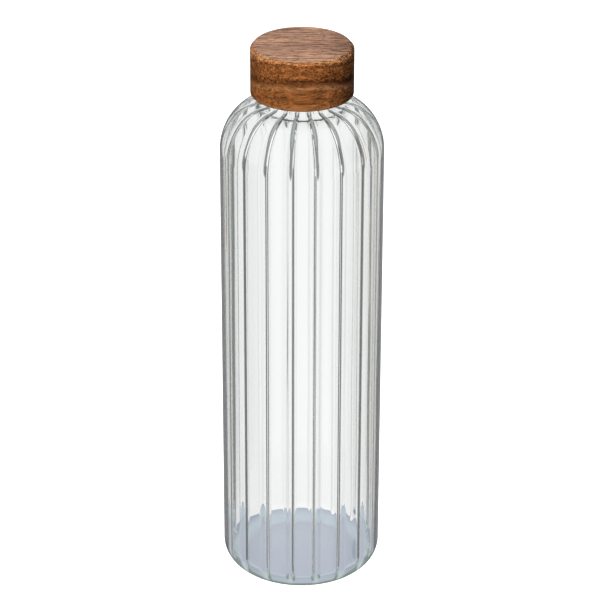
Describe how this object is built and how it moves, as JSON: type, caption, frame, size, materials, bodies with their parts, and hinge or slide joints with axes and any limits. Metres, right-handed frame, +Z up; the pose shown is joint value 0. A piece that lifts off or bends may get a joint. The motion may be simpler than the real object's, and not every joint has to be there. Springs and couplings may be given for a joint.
{
  "type": "glass water bottle",
  "caption": "Tall clear glass water bottle with inner vertical ribs, a domed shoulder and a turned wooden screw cap with a threaded liner and a seal ring.",
  "frame": {"origin": "on the bottle's axis, in the plane of the ring that it stands on", "axes": "+Z up along the bottle's axis through the neck; the body is round about it, so X and Y are any two level directions"},
  "size_m": [0.08, 0.08, 0.284],
  "materials": {
    "glass": "clear, fire-polished",
    "wood": "turned and oiled, satin",
    "liner": "moulded, natural",
    "seal": "clear silicone, satin"
  },
  "bodies": {
    "bottle": {"glass_bottle": "glass"},
    "seal": {"seal_ring": "seal"},
    "cap": {"wood_cap": "wood", "thread_insert": "liner"}
  },
  "joints": [
    {"name": "cap_lift", "type": "slide", "parent": "bottle", "child": "seal", "axis": [0, 0, 1], "range_m": [0, 0.018]},
    {"name": "cap_turn", "type": "hinge", "parent": "seal", "child": "cap", "pos_m": [0, 0, 0.2594], "axis": [0, 0, 1], "range_deg": [0, 1080]}
  ],
  "couplings": [
    {"joint": "cap_lift", "follows": "cap_turn", "m_per_rad": 0.00095493}
  ]
}
